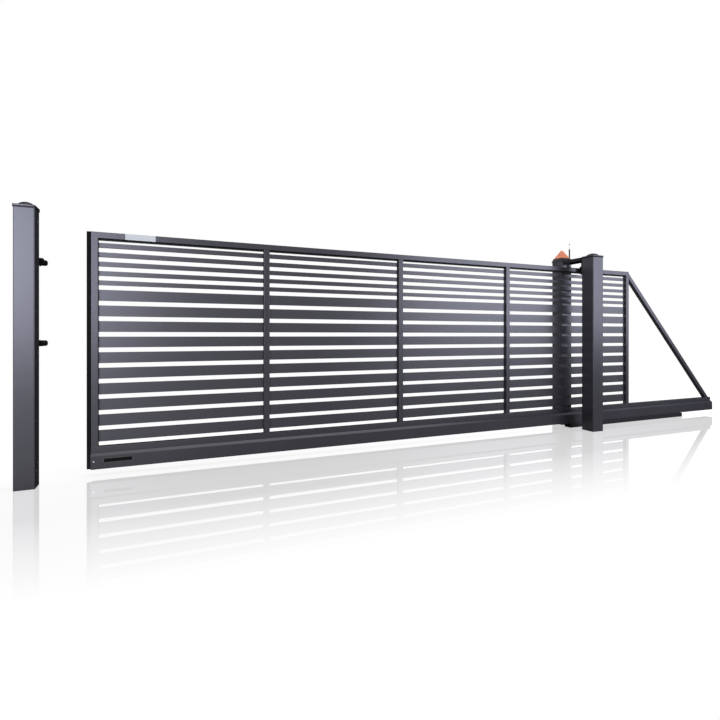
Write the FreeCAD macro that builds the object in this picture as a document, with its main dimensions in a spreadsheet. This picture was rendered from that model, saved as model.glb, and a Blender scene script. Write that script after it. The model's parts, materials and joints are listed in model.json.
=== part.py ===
"""Cantilever sliding driveway gate: slatted leaf on a C-track, portal of guide posts, receiving post.

The origin is on the ground between the two guide posts, in the middle plane of the leaf.
X runs along the leaf towards its tail, Y from the street to the yard, Z up. Sizes are in millimetres.
The leaf stands a little open, so that its front end is clear of the receiving post.
"""
import FreeCAD
import Part
import math
import os
import re

import Sketcher
from FreeCAD import Vector

doc = FreeCAD.newDocument("SlidingGate")

# Driving dimensions of the whole gate.
SIZES = {
    # passage and position of the leaf
    "clear_opening": 4330,
    "closing_gap": 40,
    "opened_by": 250,
    # leaf frame of square tube
    "bay_pitch": 1091,
    "last_bay": 412,
    "tail_length": 1341,
    "rail_setback": 12,
    "tube_size": 40,
    "tube_wall": 3,
    "tube_corner": 3,
    # slats, wide ones below and narrow ones above
    "wide_slat": 70,
    "narrow_slat": 30,
    "slat_gap": 30,
    "slat_thickness": 20,
    "slat_wall": 2,
    "lowest_gap": 27,
    "highest_gap": 25,
    "strip_height": 9,
    "wide_slat_count": 10,
    "narrow_slat_count": 5,
    # carrying track under the leaf
    "track_width": 74,
    "track_height": 100,
    "track_wall": 5,
    "track_chamfer": 17,
    "track_slot": 30,
    "track_cap": 4,
    "track_clearance": 5,
    # safety edge and brace
    "edge_depth": 26,
    "edge_width": 30,
    "edge_wall": 4,
    "brace_drop": 16,
    "brace_setback": 33,
    # base beam and roller carriages
    "beam_lead": 118,
    "beam_length": 1638,
    "beam_width": 74,
    "beam_height": 40,
    "beam_wall": 4,
    "front_carriage_at": 90,
    "rear_carriage_at": 1330,
    "carriage_length": 250,
    "carriage_plate": 12,
    "carriage_head": 20,
    "axle_spacing": 150,
    "axle_diameter": 20,
    "roller_diameter": 80,
    "side_gap": 1,
    "running_gap": 0.3,
    "bearing_gap": 0.1,
    # posts and caps
    "guide_post_size": 128,
    "receiving_post_size": 106,
    "post_wall": 4,
    "post_corner": 6,
    "portal_at": -18,
    "front_gap": 114,
    "back_gap": 84,
    "guide_post_rise": 82,
    "receiving_post_rise": 93,
    "cap_overhang": 3,
    "cap_skirt": 14,
    "cap_top": 4,
    "dome_height": 25,
    "guide_dome": 122,
    "receiving_dome": 98,
    # crossbar and guide rollers
    "crossbar_width": 124,
    "crossbar_height": 30,
    "crossbar_wall": 5,
    "guide_roller_diameter": 50,
    "guide_roller_height": 70,
    "guide_roller_drop": 5,
    "guide_roller_offset": 44,
    "guide_gap": 0.5,
    "stud_diameter": 12,
    "stud_collar": 24,
    "stud_head": 8,
    # catches on the receiving post
    "upper_catch_at": 1340,
    "lower_catch_at": 842,
    "catch_plate": 8,
    "catch_width": 134,
    "catch_height": 38,
    "catch_flange": 40,
    "catch_recess": 27,
    "horn_diameter": 36,
    "horn_length": 39,
    "horn_taper": 12,
    "horn_clearance": 7,
    # lamp and antenna on the back guide post
    "lamp_foot": 137,
    "lamp_top": 110,
    "lamp_height": 36,
    "lens_base": 106,
    "lens_tip": 10,
    "lens_height": 82,
    "lens_wall": 3,
    "antenna_sleeve": 13,
    "antenna_rod": 5,
    "antenna_knob": 9,
    "sleeve_length": 100,
    "antenna_length": 154,
    "antenna_lug": 22,
    "antenna_back": 28,
    "antenna_side": 74,
}

sheet = doc.addObject("Spreadsheet::Sheet", "Sizes")
for row, (alias, value) in enumerate(SIZES.items(), start=1):
    sheet.set("A%d" % row, alias)
    sheet.set("B%d" % row, str(value))
    sheet.setAlias("B%d" % row, alias)
doc.recompute()

# Upright tubes between the two stiles.
MULLIONS = 4

# Levels and stations that follow from the driving dimensions.
PLACES = {
    "panel_length": "2 * tube_size + %d * bay_pitch + last_bay" % MULLIONS,
    "track_bottom": "beam_height + track_clearance",
    "track_top": "track_bottom + track_height",
    "panel_bottom": "track_top + tube_size",
    "slat_height": "wide_slat_count * (wide_slat + slat_gap)"
                   " + narrow_slat_count * (narrow_slat + slat_gap) - slat_gap",
    "panel_height": "lowest_gap + slat_height + highest_gap",
    "leaf_top": "panel_bottom + panel_height + tube_size",
    "receiving_face": "portal_at - guide_post_size / 2 - clear_opening",
    "receiving_post_middle": "receiving_face - receiving_post_size / 2",
    "receiving_post_front": "-(catch_width + receiving_post_size) / 2",
    "catch_back": "receiving_face - catch_recess",
    "leaf_front": "catch_back + closing_gap + opened_by",
    "panel_end": "leaf_front + panel_length",
    "track_end": "panel_end + tail_length",
    "rail_end": "track_end - rail_setback",
    "front_inner": "-tube_size / 2 - front_gap",
    "back_inner": "tube_size / 2 + back_gap",
    "front_centre": "front_inner - guide_post_size / 2",
    "back_centre": "back_inner + guide_post_size / 2",
    "guide_post_top": "leaf_top + guide_post_rise",
    "receiving_post_top": "leaf_top + receiving_post_rise",
    "crossbar_bottom": "guide_post_top - crossbar_height",
    "crossbar_under": "crossbar_bottom + crossbar_height - crossbar_wall",
    "guide_roller_at": "tube_size / 2 + guide_gap + guide_roller_diameter / 2",
    "guide_roller_bottom": "leaf_top - tube_size / 2 - guide_roller_height / 2 - guide_roller_drop",
    "track_ceiling": "track_top - track_wall",
    "track_shoulder": "track_width / 2 - track_chamfer - track_wall * (sqrt(2) - 1)",
    "axle_level": "track_ceiling - running_gap - roller_diameter / 2",
    "roller_inner": "carriage_plate / 2 + side_gap",
    "horn_centre": "tube_size / 2 + horn_clearance + horn_diameter / 2",
    "lens_bottom": "guide_post_top + lamp_height",
}


def expression(text):
    """Turns a formula over named sizes and places into one over the cells of the sheet."""
    def cell(match):
        word = match.group(0)
        if word in PLACES:
            return "(" + expression(PLACES[word]) + ")"
        if word in SIZES:
            return "Sizes." + word
        return word
    return re.sub(r"[a-z_]+", cell, text)


def bind(item, prop, text):
    item.setExpression(prop, expression(text))


def new_body(label, at=("0", "0", "0")):
    body = doc.addObject("PartDesign::Body", label)
    body.Label = label
    for axis, text in zip("xyz", at):
        bind(body, "Placement.Base." + axis, text)
    return body


def attach(item, body, role):
    """Lays a sketch or a primitive on one of the body's own planes."""
    plane = [feature for feature in body.Origin.OriginFeatures if feature.Role == role][0]
    item.AttachmentSupport = [(plane, "")]
    item.MapMode = "FlatFace"


def new_sketch(body, role, offset="0", shift="0"):
    """Starts a sketch on one of the body's own planes, moved off it or up within it."""
    sketch = body.newObject("Sketcher::SketchObject", body.Name + "_sketch")
    attach(sketch, body, role)
    bind(sketch, "AttachmentOffset.Base.y", shift)
    bind(sketch, "AttachmentOffset.Base.z", offset)
    return sketch


def fix_point(sketch, curve, end, x, y):
    """Holds one end of a curve at bound distances from the sketch's origin."""
    drawn = sketch.getPoint(curve, end)
    for kind, value, text in (("DistanceX", drawn.x, x), ("DistanceY", drawn.y, y)):
        index = sketch.addConstraint(Sketcher.Constraint(kind, -1, 1, curve, end, value))
        bind(sketch, "Constraints[%d]" % index, text)


def outline(sketch, corners):
    """Draws a closed polygon with each corner held at its own bound place."""
    count = len(corners)
    first = sketch.GeometryCount
    turn = 2 * math.pi / count
    ring = [Vector(10 * math.cos(k * turn), 10 * math.sin(k * turn), 0) for k in range(count)]
    for k in range(count):
        sketch.addGeometry(Part.LineSegment(ring[k], ring[(k + 1) % count]), False)
    for k in range(count):
        joined = Sketcher.Constraint("Coincident", first + k, 2, first + (k + 1) % count, 1)
        sketch.addConstraint(joined)
    for k, (x, y) in enumerate(corners):
        fix_point(sketch, first + k, 1, x, y)


def rectangle(sketch, width, height):
    """Draws a rectangle about the sketch's origin."""
    right = "(%s) / 2" % width
    top = "(%s) / 2" % height
    outline(sketch, [("-" + right, "-" + top), (right, "-" + top), (right, top), ("-" + right, top)])


def circle(sketch, x, y, diameter):
    index = sketch.addGeometry(Part.Circle(Vector(0, 0, 0), Vector(0, 0, 1), 5), False)
    fix_point(sketch, index, 3, x, y)
    size = sketch.addConstraint(Sketcher.Constraint("Diameter", index, 10.0))
    bind(sketch, "Constraints[%d]" % size, diameter)


def pad(body, sketch, length, symmetric=False, reverse=False):
    feature = body.newObject("PartDesign::Pad", body.Name + "_pad")
    feature.Profile = sketch
    bind(feature, "Length", length)
    feature.Reversed = reverse
    if symmetric:
        feature.SideType = "Symmetric"
    doc.recompute()
    return feature


def pocket(body, sketch, length=None, symmetric=False, reverse=False):
    """Cuts a profile out of the body, right through where no depth is given."""
    feature = body.newObject("PartDesign::Pocket", body.Name + "_pocket")
    feature.Profile = sketch
    feature.Reversed = reverse
    if symmetric:
        feature.SideType = "Symmetric"
    if length is None:
        feature.Type = "ThroughAll"
    else:
        bind(feature, "Length", length)
    before = body.Shape.Volume
    doc.recompute()
    if not body.Shape.Volume < before - 1e-6:
        raise RuntimeError("nothing was cut from " + body.Label)
    return feature


def revolve(body, sketch, axis="V_Axis"):
    feature = body.newObject("PartDesign::Revolution", body.Name + "_turned")
    feature.Profile = sketch
    feature.ReferenceAxis = (sketch, [axis])
    feature.Angle = 360
    doc.recompute()
    return feature


def repeat(body, feature, role, step, count):
    """Repeats a feature along one of the body's own axes."""
    pattern = body.newObject("PartDesign::LinearPattern", body.Name + "_row")
    axis = [item for item in body.Origin.OriginFeatures if item.Role == role][0]
    pattern.Originals = [feature]
    pattern.Direction = (axis, [""])
    pattern.Mode = "Spacing"
    bind(pattern, "Offset", step)
    bind(pattern, "Occurrences", count)
    body.Tip = pattern
    doc.recompute()
    return pattern


def round_edges(body, feature, radius, wanted):
    """Rounds the edges whose middle point and direction pass the test."""
    doc.recompute()
    names = []
    for index, edge in enumerate(feature.Shape.Edges, start=1):
        middle = edge.valueAt((edge.FirstParameter + edge.LastParameter) / 2)
        way = edge.tangentAt(edge.FirstParameter)
        if wanted(middle, way, edge):
            names.append("Edge%d" % index)
    fillet = body.newObject("PartDesign::Fillet", body.Name + "_round")
    fillet.Base = (feature, names)
    bind(fillet, "Radius", radius)
    doc.recompute()
    return fillet


def straight_tube(label, role, width, height, wall, corner, length, at):
    """Makes a rectangular hollow section that runs along X or along Z."""
    body = new_body(label, at)
    sketch = new_sketch(body, role)
    rectangle(sketch, width, height)
    rectangle(sketch, "%s - 2 * %s" % (width, wall), "%s - 2 * %s" % (height, wall))
    tube = pad(body, sketch, length)
    lengthwise = Vector(1, 0, 0) if role == "YZ_Plane" else Vector(0, 0, 1)
    reach = max((v.Point - v.Point.dot(lengthwise) * lengthwise).Length for v in tube.Shape.Vertexes)

    def outer(middle, way, edge):
        across = middle - middle.dot(lengthwise) * lengthwise
        return abs(way.dot(lengthwise)) > 0.999 and across.Length > reach - 1e-3
    round_edges(body, tube, corner, outer)
    return body


def mitre(body, corners):
    """Cuts a tube's end off on the slant, with a triangle seen from the street."""
    sketch = new_sketch(body, "XZ_Plane")
    outline(sketch, corners)
    pocket(body, sketch, symmetric=True)


FRAME = ("tube_size", "tube_size", "tube_wall", "tube_corner")

# Leaf frame. Rails lie along X with their section centred on the leaf's middle plane.
half = "tube_size / 2"
top_rail = straight_tube("top_rail", "YZ_Plane", *FRAME, "panel_length",
                         ("leaf_front", "0", "leaf_top - " + half))
mitre(top_rail, [("0", "-" + half), ("tube_size", "-" + half), ("0", half)])
mitre(top_rail, [("panel_length", "-" + half), ("panel_length", half),
                 ("panel_length - tube_size", "-" + half)])

straight_tube("bottom_rail", "YZ_Plane", *FRAME, "rail_end - leaf_front",
              ("leaf_front", "0", "track_top + " + half))

stile_height = "leaf_top - panel_bottom"
front_stile = straight_tube("front_stile", "XY_Plane", *FRAME, stile_height,
                            ("leaf_front + " + half, "0", "panel_bottom"))
mitre(front_stile, [("-" + half, stile_height), (half, stile_height),
                    (half, "leaf_top - panel_bottom - tube_size")])

rear_stile = straight_tube("rear_stile", "XY_Plane", *FRAME, stile_height,
                           ("panel_end - " + half, "0", "panel_bottom"))
mitre(rear_stile, [(half, stile_height), ("-" + half, stile_height),
                   ("-" + half, "leaf_top - panel_bottom - tube_size")])

for number in range(1, MULLIONS + 1):
    straight_tube("mullion_%d" % number, "XY_Plane", *FRAME, "panel_height",
                  ("leaf_front + %d * bay_pitch + tube_size / 2" % number, "0", "panel_bottom"))


def slat_row(label, height, bottom, count, start, length):
    """Makes one bay's slats of one height, in the yard-side half of the frame."""
    body = new_body(label, (start, "slat_thickness / 2", bottom))
    sketch = new_sketch(body, "YZ_Plane")
    rectangle(sketch, "slat_thickness", height)
    rectangle(sketch, "slat_thickness - 2 * slat_wall", height + " - 2 * slat_wall")
    slat = pad(body, sketch, length)
    repeat(body, slat, "Z_Axis", height + " + slat_gap", count)
    return body


wide_level = "panel_bottom + lowest_gap + wide_slat / 2"
narrow_level = "panel_bottom + lowest_gap + wide_slat_count * (wide_slat + slat_gap) + narrow_slat / 2"
bays = []
for number in range(1, MULLIONS + 2):
    bay_start = "leaf_front + tube_size + %d * bay_pitch" % (number - 1)
    bay_length = "bay_pitch - tube_size" if number <= MULLIONS else "last_bay"
    bays.append((bay_start, bay_length))
    slat_row("wide_slats_bay_%d" % number, "wide_slat", wide_level, "wide_slat_count",
             bay_start, bay_length)
    slat_row("narrow_slats_bay_%d" % number, "narrow_slat", narrow_level, "narrow_slat_count",
             bay_start, bay_length)

# Black strip under the top rail, one length in each bay, in the plane of the slats.
strips = new_body("rail_strips", ("0", "0", "leaf_top - tube_size - strip_height"))
strip_sketch = new_sketch(strips, "XZ_Plane")
for bay_start, bay_length in bays:
    bay_end = "%s + %s" % (bay_start, bay_length)
    outline(strip_sketch, [(bay_start, "0"), (bay_end, "0"), (bay_end, "strip_height"),
                           (bay_start, "strip_height")])
pad(strips, strip_sketch, "slat_thickness", reverse=True)

# Diagonal brace from the rear stile down to the tail of the bottom rail.
brace = new_body("brace", ("panel_end", "0", "panel_bottom"))
brace_rise = "leaf_top - brace_drop - panel_bottom"
brace_run = "tail_length - rail_setback - brace_setback"
brace_slope = "atan((%s) / (%s))" % (brace_rise, brace_run)


def brace_outline(inset):
    """Gives a band of the brace, cut upright at the stile and level on the rail."""
    near = "%s / cos(%s)" % (inset, brace_slope)
    far = "(tube_size - %s) / cos(%s)" % (inset, brace_slope)
    near_foot = "%s / sin(%s)" % (inset, brace_slope)
    far_foot = "(tube_size - %s) / sin(%s)" % (inset, brace_slope)
    return [("0", "%s - %s" % (brace_rise, near)), ("%s - %s" % (brace_run, near_foot), "0"),
            ("%s - %s" % (brace_run, far_foot), "0"), ("0", "%s - %s" % (brace_rise, far))]


brace_sketch = new_sketch(brace, "XZ_Plane")
outline(brace_sketch, brace_outline("0"))
brace_pad = pad(brace, brace_sketch, "tube_size", symmetric=True)
brace_bore = new_sketch(brace, "XZ_Plane")
outline(brace_bore, brace_outline("tube_wall"))
pocket(brace, brace_bore, "tube_size - 2 * tube_wall", symmetric=True)
outside = SIZES["tube_size"] / 2 - 1e-3
round_edges(brace, brace.Tip, "tube_corner",
            lambda middle, way, edge: abs(middle.y) > outside and abs(way.x) > 0.1 and abs(way.z) > 0.1)

# Plug in the open tail of the bottom rail.
plug = new_body("rail_plug", ("rail_end", "0", "track_top + tube_size / 2"))
plug_plate = new_sketch(plug, "YZ_Plane")
rectangle(plug_plate, "tube_size", "tube_size")
pad(plug, plug_plate, "tube_wall")
plug_spigot = new_sketch(plug, "YZ_Plane")
rectangle(plug_spigot, "tube_size - 2 * tube_wall", "tube_size - 2 * tube_wall")
pad(plug, plug_spigot, "tube_size / 2", reverse=True)


def track_outline(inset):
    """Gives the track's closed section, drawn inwards by a wall all round."""
    flat = "track_width / 2 - %s" % inset
    shift = "%s * (sqrt(2) - 1)" % inset
    high = "track_height - track_chamfer - %s" % shift
    shoulder = "track_width / 2 - track_chamfer - %s" % shift
    ceiling = "track_height - %s" % inset
    return [("-(%s)" % flat, inset), (flat, inset), (flat, high), (shoulder, ceiling),
            ("-(%s)" % shoulder, ceiling), ("-(%s)" % flat, high)]


# Carrying track: a closed section with a slot along its underside, plugged by a plate at each end.
track = new_body("track", ("leaf_front + track_cap", "0", "track_bottom"))
track_sketch = new_sketch(track, "YZ_Plane")
outline(track_sketch, track_outline("0"))
outline(track_sketch, track_outline("track_wall"))
pad(track, track_sketch, "track_end - leaf_front - 2 * track_cap")
slot = new_sketch(track, "YZ_Plane")
outline(slot, [("-track_slot / 2", "-track_wall"), ("track_slot / 2", "-track_wall"),
               ("track_slot / 2", "2 * track_wall"), ("-track_slot / 2", "2 * track_wall")])
pocket(track, slot, reverse=True)

for label, station in (("track_front_cap", "leaf_front"), ("track_rear_cap", "track_end - track_cap")):
    cap = new_body(label, (station, "0", "track_bottom"))
    cap_sketch = new_sketch(cap, "YZ_Plane")
    outline(cap_sketch, track_outline("0"))
    pad(cap, cap_sketch, "track_cap")

# Safety edge: a hollow rubber profile with a round nose on the leaf's front end.
safety_edge = new_body("safety_edge", ("leaf_front", "0", "track_bottom"))


def nose(sketch, depth, width, foot):
    """Draws a straight-sided profile with a half-round nose that points forwards."""
    side = "(%s) / 2" % width
    first = sketch.GeometryCount
    reach = SIZES["edge_depth"]
    span = SIZES["edge_width"] / 2 - first
    sketch.addGeometry(Part.LineSegment(Vector(-first, -span, 0), Vector(-first, span, 0)), False)
    sketch.addGeometry(Part.LineSegment(Vector(-first, span, 0), Vector(span - reach, span, 0)), False)
    bow = Part.Circle(Vector(span - reach, 0, 0), Vector(0, 0, 1), span)
    sketch.addGeometry(Part.ArcOfCircle(bow, math.pi / 2, 3 * math.pi / 2), False)
    sketch.addGeometry(Part.LineSegment(Vector(span - reach, -span, 0), Vector(-first, -span, 0)), False)
    for k in range(4):
        joined = Sketcher.Constraint("Coincident", first + k, 2, first + (k + 1) % 4, 1)
        sketch.addConstraint(joined)
    sketch.addConstraint(Sketcher.Constraint("Horizontal", first + 1))
    sketch.addConstraint(Sketcher.Constraint("Vertical", first + 2, 3, first + 2, 1))
    sketch.addConstraint(Sketcher.Constraint("Vertical", first + 2, 3, first + 2, 2))
    fix_point(sketch, first, 1, "-" + foot, "-" + side)
    fix_point(sketch, first, 2, "-" + foot, side)
    fix_point(sketch, first + 2, 3, "%s - (%s)" % (side, depth), "0")


edge_sketch = new_sketch(safety_edge, "XY_Plane")
nose(edge_sketch, "edge_depth", "edge_width", "0")
nose(edge_sketch, "edge_depth - edge_wall", "edge_width - 2 * edge_wall", "edge_wall")
pad(safety_edge, edge_sketch, "leaf_top - track_bottom")

# Base beam under the track, which carries the two roller carriages.
straight_tube("base_beam", "YZ_Plane", "beam_width", "beam_height", "beam_wall", "tube_corner",
              "beam_length", ("-beam_lead", "0", "beam_height / 2"))


def carriage(label, station):
    """Makes a plate that stands on the beam, reaches up through the slot and carries two axles."""
    body = new_body(label, (station, "0", "0"))
    plate = new_sketch(body, "XZ_Plane")
    top = "axle_level + carriage_head"
    outline(plate, [("-carriage_length / 2", "beam_height"), ("carriage_length / 2", "beam_height"),
                    ("carriage_length / 2", "axle_level"), ("axle_spacing / 2 + carriage_head", top),
                    ("-axle_spacing / 2 - carriage_head", top), ("-carriage_length / 2", "axle_level")])
    pad(body, plate, "carriage_plate", symmetric=True)
    bores = new_sketch(body, "XZ_Plane")
    for side in ("-", ""):
        circle(bores, side + "axle_spacing / 2", "axle_level", "axle_diameter + 2 * bearing_gap")
    pocket(body, bores, symmetric=True)
    return body


def wheel_set(label, station):
    """Makes the two rollers of one axle, which run under the flat middle of the track's ceiling."""
    body = new_body(label, (station, "0", "axle_level"))
    sketch = new_sketch(body, "XY_Plane")
    hub = "axle_diameter / 2"
    tread = "roller_diameter / 2"
    face = "track_shoulder - side_gap"
    half_profile = [(tread, face), (tread, "roller_inner"), (hub, "roller_inner")]
    mirrored = [(x, "-(%s)" % y) for x, y in reversed(half_profile)]
    outline(sketch, [("0", face)] + half_profile + mirrored + [("0", "-(%s)" % face)])
    revolve(body, sketch)
    return body


for name, station in (("front", "front_carriage_at"), ("rear", "rear_carriage_at")):
    carriage(name + "_carriage", station)
    wheel_set(name + "_carriage_rollers_1", station + " - axle_spacing / 2")
    wheel_set(name + "_carriage_rollers_2", station + " + axle_spacing / 2")

# Posts: one on the street side at the closing end, two as a portal astride the leaf.
straight_tube("receiving_post", "XY_Plane", "receiving_post_size", "receiving_post_size", "post_wall",
              "post_corner", "receiving_post_top", ("receiving_post_middle", "receiving_post_front", "0"))
for label, across in (("front_guide_post", "front_centre"), ("back_guide_post", "back_centre")):
    straight_tube(label, "XY_Plane", "guide_post_size", "guide_post_size", "post_wall", "post_corner",
                  "guide_post_top", ("portal_at", across, "0"))


DOME_STEPS = 2


def post_cap(label, size, dome, at):
    """Makes a cap that slips over a post: a skirt, a flat rim and a low dome."""
    body = new_body(label, at)
    rim = new_sketch(body, "XY_Plane", "-cap_skirt")
    rectangle(rim, size + " + 2 * cap_overhang", size + " + 2 * cap_overhang")
    block = pad(body, rim, "cap_skirt + cap_top")
    round_edges(body, block, "post_corner",
                lambda middle, way, edge: abs(way.z) > 0.999)
    socket = new_sketch(body, "XY_Plane")
    rectangle(socket, size, size)
    pocket(body, socket, "cap_skirt")
    bow = new_sketch(body, "XZ_Plane")
    sphere = "((%s / 2) ^ 2 + dome_height ^ 2) / (2 * dome_height)" % dome
    spread = "asin(%s / 2 / (%s))" % (dome, sphere)
    profile = [("0", "cap_top")]
    for step in range(DOME_STEPS, -1, -1):
        turn = "%d / %d * %s" % (step, DOME_STEPS, spread)
        profile.append(("(%s) * sin(%s)" % (sphere, turn),
                        "cap_top + dome_height - (%s) * (1 - cos(%s))" % (sphere, turn)))
    outline(bow, profile)
    revolve(body, bow)
    return body


post_cap("receiving_post_cap", "receiving_post_size", "receiving_dome",
         ("receiving_post_middle", "receiving_post_front", "receiving_post_top"))
post_cap("front_guide_post_cap", "guide_post_size", "guide_dome",
         ("portal_at", "front_centre", "guide_post_top"))


def catch(label, level):
    """Makes a catch: an angle plate on the back of the post and two blunt-tipped horns astride the leaf."""
    body = new_body(label, ("catch_back", "0", level))
    plate = new_sketch(body, "XY_Plane")
    near = "-catch_width / 2"
    far = "catch_width / 2"
    inside = "catch_plate - catch_width / 2"
    outline(plate, [("-catch_flange", near), ("catch_plate", near), ("catch_plate", far), ("0", far),
                    ("0", inside), ("-catch_flange", inside)])
    pad(body, plate, "catch_height", symmetric=True)
    tip = "catch_plate + horn_length"
    profile = [("0", "0"), ("0", "horn_diameter / 2"), (tip + " - horn_taper", "horn_diameter / 2"),
               (tip, "horn_diameter / 2 - horn_taper"), (tip, "0")]
    for side in ("-", ""):
        horn = new_sketch(body, "XY_Plane", shift=side + "(horn_centre)")
        outline(horn, profile)
        revolve(body, horn, "H_Axis")
    return body


catch("upper_catch", "upper_catch_at")
catch("lower_catch", "lower_catch_at")

# Crossbar between the guide posts: a channel, open below, notched at the front for the cap's skirt.
crossbar = new_body("crossbar", ("portal_at", "front_inner", "crossbar_bottom"))
bar_sketch = new_sketch(crossbar, "XZ_Plane")
outline(bar_sketch, [("-crossbar_width / 2", "0"), ("-crossbar_width / 2", "crossbar_height"),
                     ("crossbar_width / 2", "crossbar_height"), ("crossbar_width / 2", "0"),
                     ("crossbar_width / 2 - crossbar_wall", "0"),
                     ("crossbar_width / 2 - crossbar_wall", "crossbar_height - crossbar_wall"),
                     ("crossbar_wall - crossbar_width / 2", "crossbar_height - crossbar_wall"),
                     ("crossbar_wall - crossbar_width / 2", "0")])
pad(crossbar, bar_sketch, "back_inner - (front_inner)", reverse=True)
notch = new_sketch(crossbar, "YZ_Plane")
outline(notch, [("0", "crossbar_height - cap_skirt"), ("cap_overhang", "crossbar_height - cap_skirt"),
                ("cap_overhang", "crossbar_height"), ("0", "crossbar_height")])
pocket(crossbar, notch, symmetric=True)


def guide_roller(name, along, across):
    """Makes a roller on an upright stud that hangs from the crossbar."""
    stud = new_body(name + "_roller_stud", (along, across, "guide_roller_bottom"))
    shank = new_sketch(stud, "XZ_Plane")
    top = "crossbar_under - (guide_roller_bottom)"
    outline(shank, [("0", "-stud_head"), ("stud_collar / 2", "-stud_head"), ("stud_collar / 2", "0"),
                    ("stud_diameter / 2", "0"),
                    ("stud_diameter / 2", "guide_roller_height + 2 * running_gap"),
                    ("stud_collar / 2", "guide_roller_height + 2 * running_gap"),
                    ("stud_collar / 2", top), ("0", top)])
    revolve(stud, shank)
    roller = new_body(name + "_guide_roller", (along, across, "guide_roller_bottom + running_gap"))
    ring = new_sketch(roller, "XZ_Plane")
    bore = "stud_diameter / 2 + bearing_gap"
    rim = "guide_roller_diameter / 2"
    outline(ring, [(bore, "0"), (rim, "0"), (rim, "guide_roller_height"), (bore, "guide_roller_height")])
    revolve(roller, ring)


guide_roller("front", "portal_at + guide_roller_offset", "-(guide_roller_at)")
guide_roller("back", "portal_at - guide_roller_offset", "guide_roller_at")


def taper(wedge, base, tip, height):
    """Gives a wedge a square foot, a smaller square top and a height."""
    for side, sign in (("min", "-"), ("max", "")):
        for axis in "XZ":
            bind(wedge, axis + side, "%s(%s) / 2" % (sign, base))
            bind(wedge, axis + "2" + side, "%s(%s) / 2" % (sign, tip))
    wedge.Ymin = 0
    bind(wedge, "Ymax", height)


# Lamp on the back guide post: a sloping black foot with an antenna lug, and a pyramid lens.
lamp_base = new_body("lamp_base", ("portal_at", "back_centre", "guide_post_top"))
foot = lamp_base.newObject("PartDesign::AdditiveWedge", "lamp_base_foot")
attach(foot, lamp_base, "XZ_Plane")
taper(foot, "lamp_foot", "lamp_top", "lamp_height")
doc.recompute()
lug = new_sketch(lamp_base, "XY_Plane", "cap_top")
lug_front = "-antenna_back - antenna_lug / 2"
lug_rear = "-antenna_back + antenna_lug / 2"
lug_side = "antenna_side + antenna_lug / 2"
outline(lug, [("lamp_top / 2 - antenna_lug", lug_front), (lug_side, lug_front),
              (lug_side, lug_rear), ("lamp_top / 2 - antenna_lug", lug_rear)])
pad(lamp_base, lug, "lamp_height - 2 * cap_top")


def pyramid(name, base, tip, height):
    """Makes a blunt four-sided pyramid that stands on the lamp base."""
    wedge = doc.addObject("Part::Wedge", name)
    taper(wedge, base, tip, height)
    wedge.Placement.Rotation = FreeCAD.Rotation(Vector(1, 0, 0), 90)
    bind(wedge, "Placement.Base.x", "portal_at")
    bind(wedge, "Placement.Base.y", "back_centre")
    bind(wedge, "Placement.Base.z", "lens_bottom")
    return wedge


lens = doc.addObject("Part::Cut", "lamp_lens")
lens.Label = "lamp_lens"
lens.Base = pyramid("lens_outside", "lens_base", "lens_tip", "lens_height")
lens.Tool = pyramid("lens_inside", "lens_base - 2 * lens_wall", "lens_tip - lens_wall",
                    "lens_height - lens_wall")

antenna = new_body("antenna", ("portal_at + antenna_side", "back_centre - antenna_back",
                               "lens_bottom - cap_top"))
mast = new_sketch(antenna, "XZ_Plane")
outline(mast, [("0", "0"), ("antenna_sleeve / 2", "0"), ("antenna_sleeve / 2", "sleeve_length"),
               ("antenna_rod / 2", "sleeve_length"), ("antenna_rod / 2", "antenna_length - antenna_knob"),
               ("antenna_knob / 2", "antenna_length - antenna_knob"),
               ("antenna_knob / 2", "antenna_length"), ("0", "antenna_length")])
revolve(antenna, mast)

doc.recompute()
bodies = [item for item in doc.Objects if item.TypeId in ("PartDesign::Body", "Part::Cut")]
for item in doc.Objects:
    if "Invalid" in item.State or "Error" in item.State:
        raise RuntimeError("%s did not build: %s" % (item.Name, item.State))
for body in bodies:
    if body.Shape.isNull() or not body.Shape.isValid() or not body.Shape.Solids:
        raise RuntimeError("%s has no sound solid" % body.Label)

os.makedirs("parts", exist_ok=True)
for body in bodies:
    body.Shape.exportStep("parts/%s.step" % body.Label)
print(len(bodies), "sub-parts written")
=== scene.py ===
# %% [markdown]
# # Sliding driveway gate
#
# A long slatted leaf that slides along the driveway on a slotted track, with a portal of two guide
# posts astride it and a receiving post at its closing end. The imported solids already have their
# true size and place, so this lesson starts by loading them and dresses them with finishes, light
# and a few small fittings.

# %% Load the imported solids
import json
from math import asin, cos, degrees, pi, radians, sin

import bmesh
import bpy
from mathutils import Matrix, Vector


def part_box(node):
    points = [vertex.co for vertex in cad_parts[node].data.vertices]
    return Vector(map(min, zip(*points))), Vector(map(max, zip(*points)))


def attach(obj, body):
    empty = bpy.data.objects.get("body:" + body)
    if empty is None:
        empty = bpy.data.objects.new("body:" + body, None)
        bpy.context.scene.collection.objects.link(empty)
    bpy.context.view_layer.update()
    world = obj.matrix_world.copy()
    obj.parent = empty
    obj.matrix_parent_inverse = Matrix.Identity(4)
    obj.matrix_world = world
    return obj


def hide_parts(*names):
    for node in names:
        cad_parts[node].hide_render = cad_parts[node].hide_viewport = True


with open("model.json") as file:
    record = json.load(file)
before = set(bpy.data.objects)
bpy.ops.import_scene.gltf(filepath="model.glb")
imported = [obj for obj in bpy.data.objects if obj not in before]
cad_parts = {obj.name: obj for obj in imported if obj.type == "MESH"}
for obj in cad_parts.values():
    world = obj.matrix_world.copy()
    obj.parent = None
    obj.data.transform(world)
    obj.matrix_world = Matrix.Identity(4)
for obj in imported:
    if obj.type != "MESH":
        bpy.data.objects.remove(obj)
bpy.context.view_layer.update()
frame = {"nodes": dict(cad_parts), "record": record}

scene = bpy.context.scene
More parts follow.
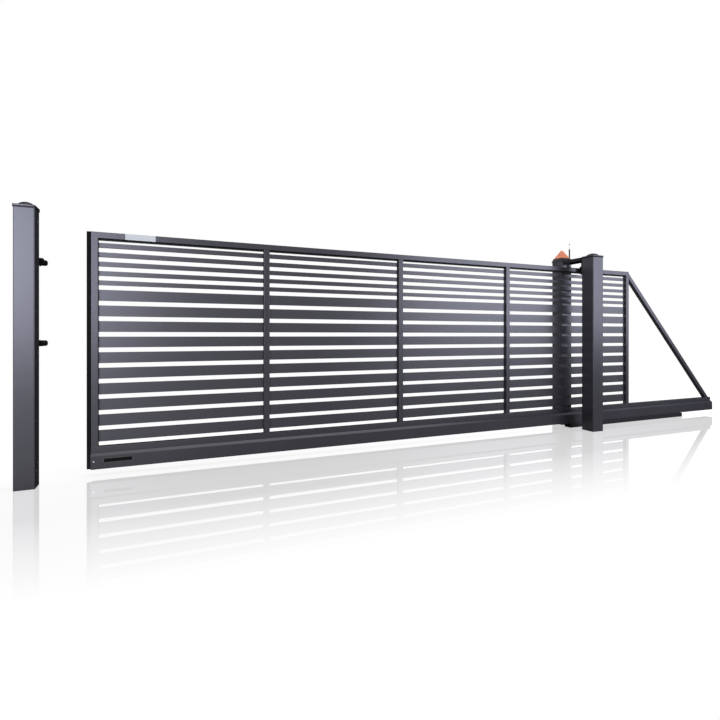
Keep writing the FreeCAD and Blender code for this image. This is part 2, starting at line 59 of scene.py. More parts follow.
nodes = frame["nodes"]

# %% [markdown]
# ## Where the camera stands
#
# The gate is seen from in front of its closing end, at chest height, with the upright tubes
# standing truly upright in the picture. That is a level camera whose picture is slid a little
# down by its shift, because tilting the camera would make the posts lean.

# %% Camera
SENSOR_WIDTH = 36.0
FOCAL_LENGTH = 23.18
PICTURE_SHIFT = -0.0342
CAMERA_PLACE = (-3.7115, -3.372, 0.890)
CAMERA_HEADING = -22.7

camera_data = bpy.data.cameras.new("driveway_camera")
camera_data.sensor_width = SENSOR_WIDTH
camera_data.lens = FOCAL_LENGTH
camera_data.shift_y = PICTURE_SHIFT
camera = bpy.data.objects.new("driveway_camera", camera_data)
camera.location = CAMERA_PLACE
camera.rotation_euler = (radians(90.0), 0.0, radians(CAMERA_HEADING))
scene.collection.objects.link(camera)
scene.camera = camera
scene.view_settings.view_transform = "Standard"
print("camera:", [round(v, 3) for v in camera.location], "lens", round(camera_data.lens, 2))

# %% [markdown]
# ## Writing nodes in few words
#
# Materials, groups and the world are all trees of nodes. Placing a node and joining it to what
# feeds it are nearly always done together, so one helper does both: a socket handed to it is
# linked, and a plain value is set. The other helpers are short names for what comes back often.

# %% Node helpers
def put(tree, kind, sockets=None, **settings):
    node = tree.nodes.new("ShaderNode" + kind)
    for name, value in settings.items():
        setattr(node, name, value)
    for name, value in (sockets or {}).items():
        if isinstance(value, bpy.types.NodeSocket):
            tree.links.new(value, node.inputs[name])
        else:
            node.inputs[name].default_value = value
    return node


def arithmetic(tree, operation, first, second=0.0, clamp=False):
    node = put(tree, "Math", {0: first, 1: second}, operation=operation, use_clamp=clamp)
    return node.outputs[0]


def stretch(tree, value, low, high, new_low, new_high):
    sockets = {"Value": value, "From Min": low, "From Max": high, "To Min": new_low, "To Max": new_high}
    return put(tree, "MapRange", sockets).outputs["Result"]


def opaque(colour, share=1.0):
    return tuple(c * share for c in colour) + (1.0,)


def blend_colours(tree, share, first, second):
    node = put(tree, "Mix", {0: share, 6: first, 7: second}, data_type="RGBA")
    return node.outputs[2]


def new_material(name):
    material = bpy.data.materials.new(name)
    material.use_nodes = True
    material.node_tree.nodes.clear()
    return material, material.node_tree


print("node helpers ready")

# %% [markdown]
# ## A pale room
#
# The gate stands in a white surround. A world that bright would flood the dark coat with light, so
# the world has two strengths: it is white where it is looked at, mirrored or seen through plastic,
# and what it sheds on the gate stays modest. The Light Path node tells these rays apart.

# %% World
WHITE = (1.0, 1.0, 1.0, 1.0)
SURROUND_LIGHT = 0.25

world = bpy.data.worlds.new("pale_room")
scene.world = world
world.use_nodes = True
room = world.node_tree
room.nodes.clear()
ray = put(room, "LightPath").outputs
seen = arithmetic(room, "MAXIMUM", ray["Is Camera Ray"], ray["Is Glossy Ray"])
seen = arithmetic(room, "MAXIMUM", seen, ray["Is Transmission Ray"])
dim_room = put(room, "Background", {"Color": WHITE, "Strength": SURROUND_LIGHT})
white_room = put(room, "Background", {"Color": WHITE, "Strength": 1.0})
surround = put(room, "MixShader", {0: seen, 1: dim_room.outputs[0], 2: white_room.outputs[0]})
put(room, "OutputWorld", {"Surface": surround.outputs[0]})
print("light shed by the surround:", SURROUND_LIGHT)

# %% [markdown]
# ## A polished floor
#
# The floor is pale and polished: it keeps the shadow and a weak mirror image of the gate, and melts
# into the white surround a little way off. Under these lights a plain white floor would lose both in
# its own brightness, so the floor is grey, with a glow of its own that only the camera sees. The
# melting is a mask on the distance from the gate, measured in a long oval. Near the closing end the
# coat mirrors a brighter stretch of floor, which is a second glow, for mirrored rays.

# %% Floor
FLOOR_REACH = 60.0
FLOOR_COLOUR = (0.26, 0.26, 0.26)
FLOOR_ROUGHNESS = 0.03
FLOOR_IOR = 2.3
FLOOR_GLOW = 0.545
CLOSING_END_GLOW = 1.15
GLOW_FADES_ALONG = (-5.0, -2.6)
GLOW_FADES_ACROSS = (-0.8, -0.2)
GLOW_LEFT_BEHIND = 0.25
OVAL_SQUEEZE = (0.1, 1.0, 1.0)
OVAL_SHIFT = (0.12, 0.0, 0.0)
MELTS_FROM = 0.75
MELTS_TO = 1.55

floor_finish, tree = new_material("polished_floor")
ray = put(tree, "LightPath").outputs
spot = put(tree, "TexCoord").outputs["Object"]
axes = put(tree, "SeparateXYZ", {0: spot}).outputs
fade_along = stretch(tree, axes["X"], *GLOW_FADES_ALONG, CLOSING_END_GLOW, 0.0)
fade_across = stretch(tree, axes["Y"], *GLOW_FADES_ACROSS, 1.0, GLOW_LEFT_BEHIND)
closing_end_glow = arithmetic(tree, "MULTIPLY", fade_along, fade_across)
looked_at = arithmetic(tree, "MULTIPLY", ray["Is Camera Ray"], FLOOR_GLOW)
mirrored = arithmetic(tree, "MULTIPLY", ray["Is Glossy Ray"], closing_end_glow)
polish = put(tree, "BsdfPrincipled", {
    "Base Color": opaque(FLOOR_COLOUR), "Roughness": FLOOR_ROUGHNESS, "IOR": FLOOR_IOR,
    "Emission Color": WHITE, "Emission Strength": arithmetic(tree, "ADD", looked_at, mirrored)})
pure_white = put(tree, "Emission", {"Color": WHITE, "Strength": 1.0})
away = put(tree, "VectorMath", {0: spot, 1: OVAL_SQUEEZE, 2: OVAL_SHIFT}, operation="MULTIPLY_ADD")
away = put(tree, "VectorMath", {0: away.outputs[0]}, operation="LENGTH").outputs["Value"]
melt = stretch(tree, away, MELTS_FROM, MELTS_TO, 0.0, 1.0)
melt = arithmetic(tree, "MULTIPLY", ray["Is Camera Ray"], melt)
both = put(tree, "MixShader", {0: melt, 1: polish.outputs[0], 2: pure_white.outputs[0]})
put(tree, "OutputMaterial", {"Surface": both.outputs[0]})

floor_mesh = bpy.data.meshes.new("studio_floor")
bm = bmesh.new()
bmesh.ops.create_grid(bm, x_segments=1, y_segments=1, size=FLOOR_REACH)
bm.to_mesh(floor_mesh)
bm.free()
floor_mesh.materials.append(floor_finish)
studio_floor = bpy.data.objects.new("studio_floor", floor_mesh)
scene.collection.objects.link(studio_floor)
print("floor half width:", FLOOR_REACH, "m")

# %% [markdown]
# ## Softboxes
#
# The upper half of the leaf shines and the lower half stays dark, with a darker stretch in the
# second bay. That is the satin coat mirroring large softboxes in front of the gate, left and right
# of the camera and above eye level. Others hang behind the gate, beyond its tail and overhead, for
# the tops and chamfers. A polished floor would mirror them all as hard white squares, so light
# linking keeps their light off the floor. The floor has an overhead light of its own, which casts
# the shadow and isn't mirrored anywhere.

# %% Lights
def softbox(name, place, aim, width, height, brightness, tint=(1.0, 1.0, 1.0)):
    data = bpy.data.lights.new(name, "AREA")
    data.color = tint
    data.shape = "RECTANGLE"
    data.size = width
    data.size_y = height
    data.energy = brightness * pi * width * height
    lamp = bpy.data.objects.new(name, data)
    lamp.location = place
    lamp.rotation_euler = (Vector(aim) - Vector(place)).to_track_quat("-Z", "Y").to_euler()
    lamp.visible_camera = False
    scene.collection.objects.link(lamp)
    return lamp


all_but_floor = bpy.data.collections.new("all_but_floor")
all_but_floor.objects.link(studio_floor)
all_but_floor.collection_objects[0].light_linking.link_state = "EXCLUDE"
floor_alone = bpy.data.collections.new("floor_alone")
floor_alone.objects.link(studio_floor)

COOL = (0.92, 0.96, 1.06)
OVERHEAD = {"place": (-1.2, 0.0, 6.0), "aim": (-1.2, 0.0, 0.0), "width": 8.0, "height": 5.0,
            "brightness": 2.4}
gate_softboxes = [
    softbox("closing_end_softbox", (-6.0, -5.2, 2.15), (-4.3, 0.0, 1.2), 3.8, 2.8, 6.8, COOL),
    softbox("receiving_post_softbox", (-6.8, -5.0, 2.15), (-4.5, 0.0, 1.2), 1.8, 2.8, 9.2, COOL),
    softbox("portal_softbox", (4.4, -5.2, 2.22), (-0.6, 0.0, 1.2), 6.4, 2.8, 8.2, COOL),
    softbox("garden_softbox", (-1.0, 6.0, 4.8), (-1.0, 0.0, 1.0), 9.0, 2.4, 3.0, COOL),
    softbox("tail_softbox", (7.2, -0.9, 3.9), (1.0, -0.3, 0.1), 2.4, 4.2, 2.4, COOL),
    softbox("overhead_softbox", **OVERHEAD),
]
for lamp in gate_softboxes:
    lamp.light_linking.receiver_collection = all_but_floor
shadow_light = softbox("shadow_softbox", **OVERHEAD)
shadow_light.light_linking.receiver_collection = floor_alone
shadow_light.visible_glossy = False

# %% [markdown]
# ## Effects that several finishes share
#
# Powder coat melts into a skin with a faint orange peel, its colour drifts a little over a metre, it
# is thinner along sharp edges and lit there by a painted highlight, and dust settles on it near the
# ground. Each effect is a node group, so that every finish can use it with its own strength. A group
# puts out masks and heights only, and the shader itself stays in the material.

# %% Node groups
def new_group(name, inputs, outputs):
    group = bpy.data.node_groups.new(name, "ShaderNodeTree")
    for label, value in inputs.items():
        socket = group.interface.new_socket(label, in_out="INPUT", socket_type="NodeSocketFloat")
        socket.default_value = value
    for label in outputs:
        group.interface.new_socket(label, in_out="OUTPUT", socket_type="NodeSocketFloat")
    given = group.nodes.new("NodeGroupInput").outputs
    return group, given, group.nodes.new("NodeGroupOutput")


def finish_group(group, leave, results):
    for label, socket in results.items():
        group.links.new(socket, leave.inputs[label])
    print("group:", group.name, list(results))


def noise(tree, vector, size, detail=2.0):
    scale = arithmetic(tree, "DIVIDE", 1.0, size)
    return put(tree, "TexNoise", {"Vector": vector, "Scale": scale, "Detail": detail}).outputs["Fac"]


surface_grain, given, leave = new_group(
    "surface_grain", {"Peel Size": 0.002, "Drift Size": 0.7}, ("Peel", "Drift"))
place = put(surface_grain, "TexCoord").outputs["Object"]
finish_group(surface_grain, leave, {
    "Peel": noise(surface_grain, place, given["Peel Size"]),
    "Drift": noise(surface_grain, place, given["Drift Size"], detail=4.0),
})

# %% [markdown]
# ## Worn edges with a painted highlight
#
# Where the coat bends over an edge it is thinner and lighter, and that lighter colour is also a
# painted highlight along the edge. The Bevel node gives the normal that a rounded edge would have,
# so the places where it differs from the true normal are the edges. This needs no painted mask, and
# follows whatever solid the finish is put on.

# %% Edge wear and painted highlight group
edge_wear_and_sheen, given, leave = new_group(
    "edge_wear_and_sheen", {"Width": 0.002, "Amount": 1.0, "Patch Size": 0.03}, ("Wear_and_Sheen",))
place = put(edge_wear_and_sheen, "TexCoord").outputs["Object"]
rounded = put(edge_wear_and_sheen, "Bevel", {"Radius": given["Width"]}, samples=4).outputs["Normal"]
plain = put(edge_wear_and_sheen, "NewGeometry").outputs["Normal"]
meeting = put(edge_wear_and_sheen, "VectorMath", {0: rounded, 1: plain}, operation="DOT_PRODUCT").outputs["Value"]
bend = arithmetic(edge_wear_and_sheen, "SUBTRACT", 1.0, meeting)
edge_patches = stretch(
    edge_wear_and_sheen, noise(edge_wear_and_sheen, place, given["Patch Size"], detail=4.0), 0.35, 0.7, 0.3, 4.0)
worn_and_lit = arithmetic(edge_wear_and_sheen, "MULTIPLY", bend, edge_patches)
finish_group(edge_wear_and_sheen, leave, {
    "Wear_and_Sheen": arithmetic(edge_wear_and_sheen, "MULTIPLY", worn_and_lit, given["Amount"], clamp=True),
})

# %% [markdown]
# ## Settled dust
#
# Dust splashes up from the ground and lies on what faces upward. So the mask is the larger of two:
# one fades with height, and the other looks at the normal. Noise breaks both into patches.

# %% Dust group
DUST_PATCH = 0.09

settled_dust, given, leave = new_group(
    "settled_dust", {"Height": 0.3, "Amount": 1.0}, ("Dust",))
place = put(settled_dust, "TexCoord").outputs["Object"]
level = put(settled_dust, "SeparateXYZ", {0: place}).outputs["Z"]
splash = stretch(settled_dust, level, 0.0, given["Height"], 0.6, 0.0)
normal = put(settled_dust, "NewGeometry").outputs["Normal"]
upward = put(settled_dust, "SeparateXYZ", {0: normal}).outputs["Z"]
shelf = stretch(settled_dust, upward, 0.6, 1.0, 0.0, 0.7)
larger = arithmetic(settled_dust, "MAXIMUM", splash, shelf)
dusty_patches = stretch(
    settled_dust, noise(settled_dust, place, DUST_PATCH, detail=6.0), 0.3, 0.75, 0.2, 1.0)
settled = arithmetic(settled_dust, "MULTIPLY", larger, dusty_patches)
finish_group(settled_dust, leave, {
    "Dust": arithmetic(settled_dust, "MULTIPLY", settled, given["Amount"], clamp=True),
})

# %% [markdown]
# ## Coated metal
#
# Frame, posts and slats carry an anthracite coat, a cold grey with a trace of violet and metal flake
# in it: part of it shines like metal and the rest is matt. The slats are extruded aluminium, so they
# also show very fine lines along their length. The crossbar is black. The base beam is set back under
# the track, and its darker grey is painted shade. One function writes all of them, with colour, flake
# and gloss as arguments. The gloss drifts a little, but each coat stays too rough to count as a mirror
# for the denoiser, which would draw a line where that changes.

# %% Coated metal finishes
DUST_COLOUR = (0.16, 0.155, 0.15)
GLOSS_DRIFT = 0.04
LINE_STRETCH = (2.0, 900.0, 900.0)


def group_node(tree, group, sockets):
    node = put(tree, "Group", node_tree=group)
    for label, value in sockets.items():
        node.inputs[label].default_value = value
    return node.outputs


def finish_material(tree, sockets):
    shader = put(tree, "BsdfPrincipled", sockets)
    put(tree, "OutputMaterial", {"Surface": shader.outputs[0]})


def coated_metal(name, colour, flake, gloss, dust, draw_lines=0.0):
    material, tree = new_material(name)
    grain = group_node(tree, surface_grain, {"Peel Size": 0.0016, "Drift Size": 0.8})
    wear_and_sheen = group_node(tree, edge_wear_and_sheen, {"Width": 0.0016, "Amount": 0.15})["Wear_and_Sheen"]
    dusty = group_node(tree, settled_dust, {"Height": 0.22, "Amount": dust})["Dust"]
    tone = blend_colours(tree, grain["Drift"], opaque(colour, 0.9), opaque(colour, 1.1))
    # the lighter edge colour is worn coat and a painted highlight along the edges
    tone = blend_colours(tree, wear_and_sheen, tone, opaque(colour, 1.9))
    tone = blend_colours(tree, dusty, tone, opaque(DUST_COLOUR))
    rough = stretch(tree, grain["Drift"], 0.0, 1.0, gloss - GLOSS_DRIFT, gloss + GLOSS_DRIFT)
    rough = arithmetic(tree, "ADD", rough, arithmetic(tree, "MULTIPLY", dusty, 0.3), clamp=True)
    height = grain["Peel"]
    if draw_lines:
        place = put(tree, "TexCoord").outputs["Object"]
        drawn = put(tree, "Mapping", {0: place, "Scale": LINE_STRETCH}).outputs[0]
        lines = put(tree, "TexNoise", {"Vector": drawn, "Scale": 1.0, "Detail": 1.0}).outputs["Fac"]
        height = arithmetic(tree, "ADD", height, arithmetic(tree, "MULTIPLY", lines, draw_lines))
    bump = put(tree, "Bump", {"Strength": 0.12, "Distance": 0.0004, "Height": height}).outputs[0]
    finish_material(tree, {
        "Base Color": tone, "Roughness": rough, "Normal": bump, "Metallic": flake,
        "Specular IOR Level": 0.0, "Specular Tint": (0.15, 0.15, 0.15, 1.0)})
    return material


FRAME_COLOUR = (0.0502, 0.0491, 0.0564)
SLAT_COLOUR = (0.0555, 0.0548, 0.0625)
CROSSBAR_COLOUR = (0.02, 0.02, 0.022)
# the base beam's darker grey is painted shade under the track
BEAM_SHADED_COLOUR = (0.028, 0.0277, 0.0315)
finishes = {
    "anthracite_coat": coated_metal("anthracite_coat_dressed", FRAME_COLOUR, 0.65, 0.30, 0.08),
    "slat_coat": coated_metal("slat_coat_dressed", SLAT_COLOUR, 0.68, 0.33, 0.06, draw_lines=0.5),
    "black_coat": coated_metal("black_coat_dressed", CROSSBAR_COLOUR, 0.75, 0.42, 0.08),
}
beam_shaded_coat = coated_metal("beam_coat_painted_shade", BEAM_SHADED_COLOUR, 0.65, 0.35, 0.08)
print("coats:", sorted(finishes), beam_shaded_coat.name)

# %% [markdown]
# ## Rubber and moulded plastic
#
# The safety edge and the catches are rubber: nearly black, matt, with a fine skin and a grey bloom
# in patches. The lamp's base, the rollers and the plug are moulded plastic with a sparked texture
# and a little more gloss. Both are a dark colour that drifts into a bloom, so one function serves.

# %% Rubber and plastic finishes
GROUND_DUST_COLOUR = (0.13, 0.125, 0.12)


def moulded(name, colour, bloom, gloss, specular, grain_size, depth):
    material, tree = new_material(name)
    grain = group_node(tree, surface_grain, {"Peel Size": grain_size, "Drift Size": 0.12})
    wear_and_sheen = group_node(tree, edge_wear_and_sheen, {"Width": 0.0012, "Amount": 0.6})["Wear_and_Sheen"]
    dusty = group_node(tree, settled_dust, {"Height": 0.2, "Amount": 0.3})["Dust"]
    patches = stretch(tree, grain["Drift"], 0.4, 0.8, 0.0, 1.0)
    tone = blend_colours(tree, patches, opaque(colour), opaque(bloom))
    # the lighter edge colour is worn skin and a painted highlight along the edges
    tone = blend_colours(tree, wear_and_sheen, tone, opaque(bloom, 1.8))
    tone = blend_colours(tree, dusty, tone, opaque(GROUND_DUST_COLOUR))
    rough = stretch(tree, grain["Peel"], 0.2, 0.8, gloss - 0.06, gloss + 0.06)
    bump = put(tree, "Bump", {"Strength": 0.35, "Distance": depth, "Height": grain["Peel"]}).outputs[0]
    finish_material(tree, {
        "Base Color": tone, "Roughness": rough, "Normal": bump, "Specular IOR Level": specular})
    return material


finishes["black_rubber"] = moulded(
    "black_rubber_dressed", colour=(0.005, 0.005, 0.0055), bloom=(0.008, 0.008, 0.0085),
    gloss=0.75, specular=0.03, grain_size=0.0009, depth=0.0002)
finishes["black_plastic"] = moulded(
    "black_plastic_dressed", colour=(0.007, 0.007, 0.0075), bloom=(0.011, 0.011, 0.012),
    gloss=0.5, specular=0.1, grain_size=0.0006, depth=0.00012)
print("moulded:", "black_rubber", "black_plastic")

# %% [markdown]
# ## Zinc
#
# The two carriages are zinc plated, with the soft spangle of crystals. Each cell of a Voronoi texture
# is one crystal, with its own shade and its own gloss.

# %% Zinc finish
ZINC_COLOUR = (0.56, 0.57, 0.58)
ZINC_DUST_COLOUR = (0.2, 0.19, 0.18)
CRYSTALS_PER_METRE = 140.0


def zinc(name, colour, gloss):
    material, tree = new_material(name)
    place = put(tree, "TexCoord").outputs["Object"]
    spangle = put(tree, "TexVoronoi", {"Vector": place, "Scale": CRYSTALS_PER_METRE}).outputs["Color"]
    shade = put(tree, "SeparateColor", {0: spangle}).outputs[0]
    dusty = group_node(tree, settled_dust, {"Height": 0.2, "Amount": 0.5})["Dust"]
    tone = blend_colours(tree, shade, opaque(colour, 0.85), opaque(colour))
    tone = blend_colours(tree, dusty, tone, opaque(ZINC_DUST_COLOUR))
    rough = stretch(tree, shade, 0.0, 1.0, gloss - 0.06, gloss + 0.06)
    finish_material(tree, {"Base Color": tone, "Metallic": 1.0, "Roughness": rough})
    return material


finishes["zinc_steel"] = zinc("zinc_steel_dressed", ZINC_COLOUR, 0.42)
print("plated:", "zinc_steel")

# %% [markdown]
# ## Antenna and amber lens
#
# The antenna has a black sleeve below, a bare metal rod above it and a black knob on top. It is one
# solid, so a mask on its height tells them apart, and the heights come from the solid's box. The
# lens is amber plastic that lets light through but isn't clear: rough transmission with fine ribs
# round it.

# %% Antenna and lens finishes
SLEEVE_LENGTH = 0.100
KNOB_HEIGHT = 0.0095
SLEEVE_COLOURS = ((0.012, 0.012, 0.013), (0.02, 0.02, 0.021))
ROD_COLOURS = ((0.24, 0.24, 0.245), (0.32, 0.32, 0.33))
LENS_COLOURS = ((0.56, 0.13, 0.035), (0.64, 0.19, 0.065))
RIB_WAVE = 1400.0


def drifting(tree, grain, colours):
    return blend_colours(tree, grain["Drift"], opaque(colours[0]), opaque(colours[1]))


def antenna_finish(name, sleeve_top, knob_foot):
    material, tree = new_material(name)
    level = put(tree, "SeparateXYZ", {0: put(tree, "TexCoord").outputs["Object"]}).outputs["Z"]
    above = arithmetic(tree, "GREATER_THAN", level, sleeve_top)
    bare = arithmetic(tree, "MULTIPLY", above, arithmetic(tree, "LESS_THAN", level, knob_foot))
    grain = group_node(tree, surface_grain, {"Peel Size": 0.0006, "Drift Size": 0.02})
    black = drifting(tree, grain, SLEEVE_COLOURS)
    silver = drifting(tree, grain, ROD_COLOURS)
    finish_material(tree, {
        "Base Color": blend_colours(tree, bare, black, silver), "Metallic": bare,
        "Roughness": stretch(tree, bare, 0.0, 1.0, 0.5, 0.28), "Specular IOR Level": 0.1})
    return material


def amber_plastic(name):
    material, tree = new_material(name)
    level = put(tree, "SeparateXYZ", {0: put(tree, "TexCoord").outputs["Object"]}).outputs["Z"]
    ribs = arithmetic(tree, "SINE", arithmetic(tree, "MULTIPLY", level, RIB_WAVE))
    grain = group_node(tree, surface_grain, {"Peel Size": 0.004, "Drift Size": 0.05})
    bump = put(tree, "Bump", {"Strength": 0.12, "Distance": 0.0005, "Height": ribs}).outputs[0]
    finish_material(tree, {
        "Base Color": drifting(tree, grain, LENS_COLOURS), "Roughness": 0.4, "IOR": 1.49,
        "Transmission Weight": 0.3, "Normal": bump})
    return material


finishes["amber_lens"] = amber_plastic("amber_lens_dressed")
antenna_low, antenna_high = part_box("antenna")
sleeve_top = antenna_low.z + SLEEVE_LENGTH
knob_foot = antenna_high.z - KNOB_HEIGHT
antenna_dress = antenna_finish("antenna_dressed", sleeve_top, knob_foot)
print("bare rod from", round(sleeve_top, 3), "to", round(knob_foot, 4))

# %% [markdown]
# ## Dressing the solids
#
# The imported record says which finish each solid has. Its mesh stays as it is, and only the
# material in its slot changes. The antenna has a finish of its own, and the base beam a darker coat
# that is painted shade under the track.

# %% Finishes on the solids
for part in frame["record"]["subparts"]:
    solid = nodes[part["node"]]
    solid.material_slots[0].material = finishes[part["material_slot"]]
nodes["antenna"].material_slots[0].material = antenna_dress
# the base beam gets the darker coat that paints its shade under the track
nodes["base_beam"].material_slots[0].material = beam_shaded_coat

# %% [markdown]
# ## Making a new piece
#
# What comes on top of the solids is drawn with bmesh: a block, its edges rounded, and faces drawn out
# or set in.

# %% Piece helpers
def new_piece(name, shape, materials, body):
    mesh = bpy.data.meshes.new(name)
    bmesh.ops.recalc_face_normals(shape, faces=shape.faces)
    shape.to_mesh(mesh)
    shape.free()
    for material in materials:
        mesh.materials.append(material)
    piece = bpy.data.objects.new(name, mesh)
    scene.collection.objects.link(piece)
    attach(piece, body)
    print("piece:", name, "faces", len(mesh.polygons), "on", body)
    return piece


def block(shape, low, high):
    middle = (Vector(low) + Vector(high)) / 2
    size = Vector(high) - Vector(low)
    form = Matrix.Translation(middle) @ Matrix.Diagonal(size.to_4d())
    bmesh.ops.create_cube(shape, size=1.0, matrix=form)


def edges_along(shape, axis, shortest):
    return [e for e in shape.edges if abs(e.verts[0].co[axis] - e.verts[1].co[axis]) > shortest]


def round_edges(shape, edges, radius, steps):
    bmesh.ops.bevel(shape, geom=list(edges), offset=radius, affect="EDGES", segments=steps, profile=0.5,
                    material=-1)


print("piece helpers ready")

# %% [markdown]
# ## Sheet finishes
#
# The plates are painted or bare sheet metal: one flat tone that drifts a little, with a fine grain in
# its gloss. They are small, so they need no wear and no dust.

# %% Sheet finishes
def plain_sheet(name, dark, light, gloss, specular, metallic=0.0):
    material, tree = new_material(name)
    grain = group_node(tree, surface_grain, {"Peel Size": 0.0008, "Drift Size": 0.05})
    finish_material(tree, {
        "Base Color": drifting(tree, grain, (dark, light)), "Metallic": metallic,
        "Specular IOR Level": specular,
        "Roughness": stretch(tree, grain["Peel"], 0.2, 0.8, gloss - 0.05, gloss + 0.05)})
    return material


black_sheet = plain_sheet("plate_black", (0.004, 0.004, 0.0045), (0.006, 0.006, 0.0065), 0.4, 0.02)
pale_sheet = plain_sheet("plate_pale", (0.37, 0.38, 0.39), (0.41, 0.42, 0.43), 0.5, 0.2)
dull_metal = plain_sheet("dull_metal", (0.13, 0.13, 0.13), (0.17, 0.17, 0.17), 0.35, 0.5, 1.0)
print("sheets:", black_sheet.name, pale_sheet.name, dull_metal.name)

# %% [markdown]
# ## Bare plates
#
# A small dark plate with a thin dull metal border sits on the track near its closing end, and a pale
# plate on the top rail above it. Both are left bare. A plate is a block with its corners rounded, and
# the dark one has its face inset to give the border. A patch of colour in the track's finish would do
# from far off, but a real edge catches the light.

# %% Plates
PLATE_THICKNESS = 0.001
PLATE_RIM = 0.0003
DARK_PLATE_ALONG = (0.069, 0.234)
DARK_PLATE_LEVELS = (0.084, 0.111)
DARK_PLATE_CORNER = 0.002
BORDER_WIDTH = 0.0012
PALE_PLATE_ALONG = (0.190, 0.370)
PALE_PLATE_MARGIN = 0.001
PALE_PLATE_CORNER = 0.003


def front_face(shape):
    return min(shape.faces, key=lambda face: face.calc_center_median().y)


def plate_blank(along, front, levels, corner):
    shape = bmesh.new()
    block(shape, (track_low.x + along[0], front - PLATE_THICKNESS, levels[0]),
          (track_low.x + along[1], front, levels[1]))
    round_edges(shape, edges_along(shape, 1, PLATE_THICKNESS / 2), corner, 4)
    round_edges(shape, front_face(shape).edges, PLATE_RIM, 2)
    return shape


track_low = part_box("track")[0]
dark_plate = plate_blank(DARK_PLATE_ALONG, track_low.y, DARK_PLATE_LEVELS, DARK_PLATE_CORNER)
border = bmesh.ops.inset_region(
    dark_plate, faces=[front_face(dark_plate)], thickness=BORDER_WIDTH, depth=0.0)
for face in border["faces"]:
    face.material_index = 1
new_piece("bare_dark_plate", dark_plate, (black_sheet, dull_metal), "leaf")

rail_low, rail_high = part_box("top_rail")
rail_levels = (rail_low.z + PALE_PLATE_MARGIN, rail_high.z - PALE_PLATE_MARGIN)
pale_plate = plate_blank(PALE_PLATE_ALONG, rail_low.y, rail_levels, PALE_PLATE_CORNER)
new_piece("bare_pale_plate", pale_plate, (pale_sheet,), "leaf")

# %% [markdown]
# ## A screw
#
# A round screw holds the track's end cap. It starts as a disc, and its head is drawn out in three
# steps that get smaller, with a socket pressed back into the last one. Extruding and insetting one
# face again and again keeps the head a single closed skin.

# %% Screw
SCREW_FROM_END = 0.013
SCREW_LEVEL = 0.095
SCREW_RADIUS = 0.0045
SCREW_HEIGHT = 0.0025
HEAD_STEPS = ((0.6, 0.15), (0.3, 0.3), (0.1, 0.2))
SOCKET_DEPTH = 0.5


def round_screw(middle, radius, height):
    shape = bmesh.new()
    turn = Matrix.Translation(middle) @ Matrix.Rotation(radians(90.0), 4, "X")
    bmesh.ops.create_circle(shape, cap_ends=True, segments=24, radius=radius, matrix=turn)
    face = shape.faces[:][0]
    outward = Vector((0.0, -1.0, 0.0))
    for rise, step in HEAD_STEPS:
        face = bmesh.ops.extrude_discrete_faces(shape, faces=[face])["faces"][0]
        bmesh.ops.translate(shape, verts=face.verts, vec=outward * (height * rise))
        bmesh.ops.inset_region(shape, faces=[face], thickness=radius * step)
    socket = bmesh.ops.extrude_discrete_faces(shape, faces=[face])["faces"][0]
    bmesh.ops.translate(shape, verts=socket.verts, vec=outward * -height * SOCKET_DEPTH)
    return shape


screw_metal = plain_sheet("screw_metal", (0.42, 0.42, 0.42), (0.50, 0.50, 0.50), 0.45, 0.5, 0.6)
screw = round_screw((track_low.x + SCREW_FROM_END, track_low.y, SCREW_LEVEL), SCREW_RADIUS, SCREW_HEIGHT)
new_piece("end_cap_screw", screw, (screw_metal,), "leaf")

# %% [markdown]
# ## Smooth caps
#
# The solids draw the domes of the two post caps with a few broad bands. Here they are drawn again
# with smooth curves, and each new cap stands in for the banded solid. A cap is a block with rounded
# corners, hollowed from below to slip over its post. Its dome is an arc spun round an upright axis,
# which keeps the true curve, where a subdivided block would only come near it.

# %% Caps
SPIN_STEPS = 48
CAP_CORNER = 0.006
CAP_RIM = 0.0012


def turned(shape, foot, along, profile):
    along = Vector(along)
    across = along.orthogonal().normalized()
    curve = [shape.verts.new(Vector(foot) + along * rise + across * radius) for rise, radius in profile]
    edges = [shape.edges.new(pair) for pair in zip(curve, curve[1:])]
    bmesh.ops.spin(shape, geom=curve + edges, cent=foot, axis=along, angle=radians(360.0),
                   steps=SPIN_STEPS, use_merge=True)


def arc(middle_rise, middle_radius, radius, start, end, steps):
    points = []
    for step in range(steps + 1):
        turn = radians(start + (end - start) * step / steps)
        points.append((middle_rise + radius * sin(turn), middle_radius + radius * cos(turn)))
    return points


def close_and_smooth(shape):
    bmesh.ops.remove_doubles(shape, verts=shape.verts, dist=0.00001)
    for face in shape.faces:
        face.smooth = len(face.verts) < 5


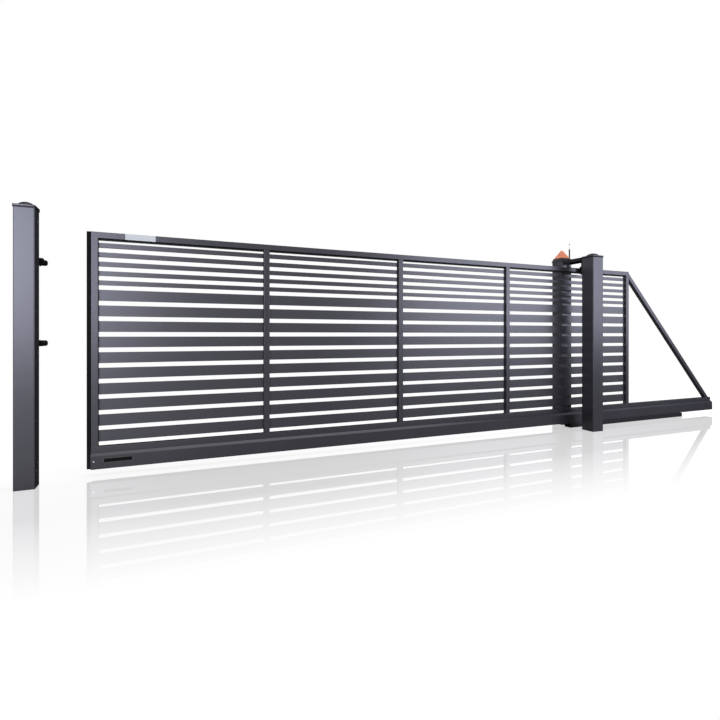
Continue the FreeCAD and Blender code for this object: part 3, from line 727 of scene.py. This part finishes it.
def smooth_cap(node, dome, dome_height, skirt, overhang):
    low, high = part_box(node)
    plate_top = high.z - dome_height
    shape = bmesh.new()
    block(shape, low, (high.x, high.y, plate_top))
    round_edges(shape, edges_along(shape, 2, skirt / 2), CAP_CORNER, 5)
    lid = max(shape.faces, key=lambda face: face.calc_center_median().z)
    round_edges(shape, lid.edges, CAP_RIM, 3)
    under = min(shape.faces, key=lambda face: face.calc_center_median().z)
    bmesh.ops.inset_region(shape, faces=[under], thickness=overhang, depth=0.0)
    hollow = bmesh.ops.extrude_discrete_faces(shape, faces=[under])["faces"]
    bmesh.ops.translate(shape, verts=hollow[0].verts, vec=(0.0, 0.0, skirt))
    sphere = ((dome / 2) ** 2 + dome_height ** 2) / (2 * dome_height)
    spread = degrees(asin(dome / 2 / sphere))
    foot = Vector(((low.x + high.x) / 2, (low.y + high.y) / 2, plate_top))
    bow = arc(dome_height - sphere, 0.0, sphere, 90.0 - spread, 90.0, 12)
    turned(shape, foot, (0.0, 0.0, 1.0), [(0.0, 0.0)] + bow)
    close_and_smooth(shape)
    coat = finishes["anthracite_coat"]
    cap = new_piece(node + "_smooth", shape, (coat,), "fixed_frame")
    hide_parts(node)


for node, dome in (("receiving_post_cap", 0.098), ("front_guide_post_cap", 0.122)):
    smooth_cap(node, dome, dome_height=0.025, skirt=0.014, overhang=0.003)

# %% [markdown]
# ## Smooth catches
#
# A catch is a rubber angle with two horns, between which the closing leaf runs in. The angle is one
# outline drawn upward, with its edges rounded. A horn is a straight line that ends in a quarter
# arc, spun round its own axis. As with the caps, each new catch stands in for the banded solid.

# %% Catches
CATCH_EDGE = 0.0012
HORN_INSET = 0.022


def smooth_catch(node, plate, flange, horn, horn_length, horn_round):
    low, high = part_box(node)
    back = low.x + flange
    front = back + plate
    shape = bmesh.new()
    ends = [(low.x, low.y), (front, low.y), (front, high.y), (back, high.y), (back, low.y + plate),
            (low.x, low.y + plate)]
    angle = shape.faces.new([shape.verts.new((x, y, low.z)) for x, y in ends])
    raised = bmesh.ops.extrude_face_region(shape, geom=[angle])["geom"]
    lifted = [item for item in raised if isinstance(item, bmesh.types.BMVert)]
    bmesh.ops.translate(shape, verts=lifted, vec=(0.0, 0.0, high.z - low.z))
    round_edges(shape, shape.edges, CATCH_EDGE, 2)
    tip = arc(horn_length - horn_round, horn / 2 - horn_round, horn_round, 0.0, 90.0, 8)
    inset = high.y - HORN_INSET
    for across in (-inset, inset):
        foot = (front, across, (low.z + high.z) / 2)
        turned(shape, foot, (1.0, 0.0, 0.0), [(0.0, 0.0), (0.0, horn / 2)] + tip + [(horn_length, 0.0)])
    close_and_smooth(shape)
    rubber = finishes["black_rubber"]
    catch = new_piece(node + "_smooth", shape, (rubber,), "fixed_frame")
    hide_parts(node)


for node in ("upper_catch", "lower_catch"):
    smooth_catch(node, plate=0.008, flange=0.040, horn=0.036, horn_length=0.039, horn_round=0.012)
